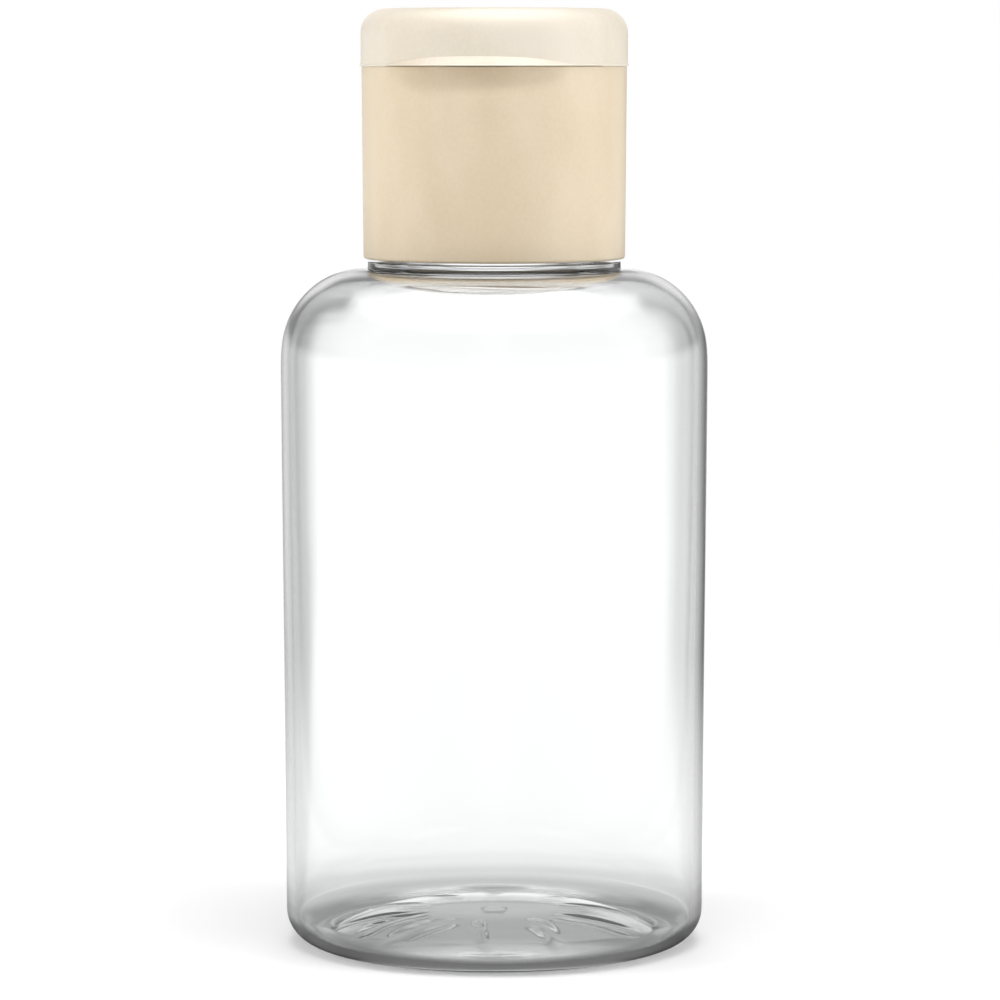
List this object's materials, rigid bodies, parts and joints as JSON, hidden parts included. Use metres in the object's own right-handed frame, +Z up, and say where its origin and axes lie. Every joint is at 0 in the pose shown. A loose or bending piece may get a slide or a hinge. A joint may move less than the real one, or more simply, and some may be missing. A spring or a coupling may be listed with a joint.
{
  "type": "flip-top bottle",
  "caption": "Clear round plastic bottle with wide rounded shoulders and a cream screw-on flip-top closure: thumb lip, snap hinge, dispensing spout and sealing liner.",
  "frame": {"origin": "centre of the bottle's base, on the plane that it stands on", "axes": "+Z up along the bottle's axis, -Y towards the lid's thumb lip, +Y towards the lid's hinge, +X to the right as seen from the front"},
  "size_m": [0.0452, 0.0452, 0.0992],
  "materials": {
    "clear_plastic": "clear, glossy blown PET",
    "cream_plastic": "opaque cream polypropylene with a soft sheen",
    "liner_foam": "matt white polyethylene foam"
  },
  "bodies": {
    "bottle": {"bottle": "clear_plastic"},
    "liner": {"liner": "liner_foam"},
    "closure": {"closure_base": "cream_plastic", "hinge_film_left": "cream_plastic", "hinge_film_right": "cream_plastic", "hinge_strap": "cream_plastic"},
    "lid": {"lid": "cream_plastic"}
  },
  "joints": [
    {"name": "cap_rise", "type": "slide", "parent": "bottle", "child": "liner", "axis": [0, 0, 1], "range_m": [0, 0.00477]},
    {"name": "cap_turn", "type": "hinge", "parent": "liner", "child": "closure", "pos_m": [0, 0, 0.0829], "axis": [0, 0, 1], "range_deg": [0, 540]},
    {"name": "lid_flip", "type": "hinge", "parent": "closure", "child": "lid", "pos_m": [0, 0.01335, 0.0933], "axis": [-1, 0, 0], "range_deg": [0, 180], "deforming": ["hinge_film_left", "hinge_film_right", "hinge_strap"]}
  ],
  "couplings": [
    {"joint": "cap_rise", "follows": "cap_turn", "m_per_rad": 0.00050532}
  ]
}
